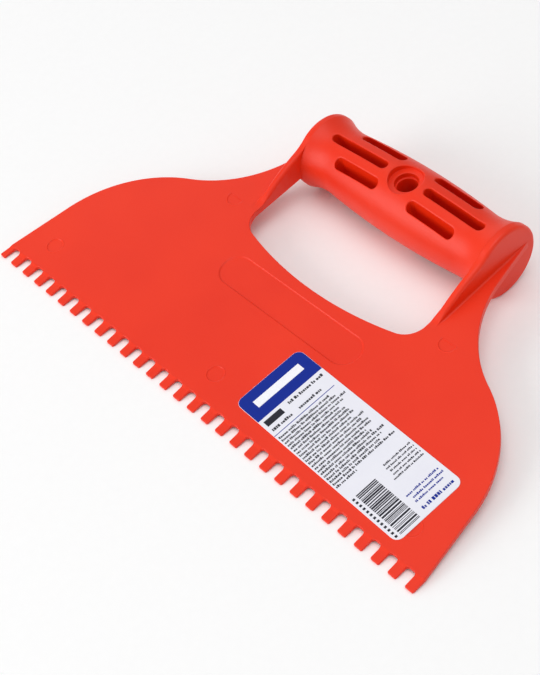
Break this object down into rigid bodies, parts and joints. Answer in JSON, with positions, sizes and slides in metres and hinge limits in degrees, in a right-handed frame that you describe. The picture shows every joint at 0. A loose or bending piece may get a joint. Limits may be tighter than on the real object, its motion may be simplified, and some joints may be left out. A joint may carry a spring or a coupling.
{
  "type": "notched trowel",
  "caption": "Moulded plastic notched trowel: a wide flat blade with a comb of square teeth, an open hand hole, a cored cross grip with a hang hole, and a stuck-on label.",
  "frame": {"origin": "where the hang hole's axis crosses the grip's axis, on the middle plane of the arms", "axes": "+X along the comb, +Y from the comb to the grip, +Z out of the labelled face along the hang hole"},
  "size_m": [0.235, 0.1371, 0.0316],
  "materials": {
    "moulded_plastic": "satin orange-red moulded polypropylene",
    "label_film": "semi-gloss white label with a dark blue header band and plain printed bars"
  },
  "bodies": {
    "root": {"blade": "moulded_plastic", "teeth": "moulded_plastic", "left_arm": "moulded_plastic", "right_arm": "moulded_plastic", "left_cheek": "moulded_plastic", "right_cheek": "moulded_plastic", "grip": "moulded_plastic", "label": "label_film"}
  },
  "joints": []
}
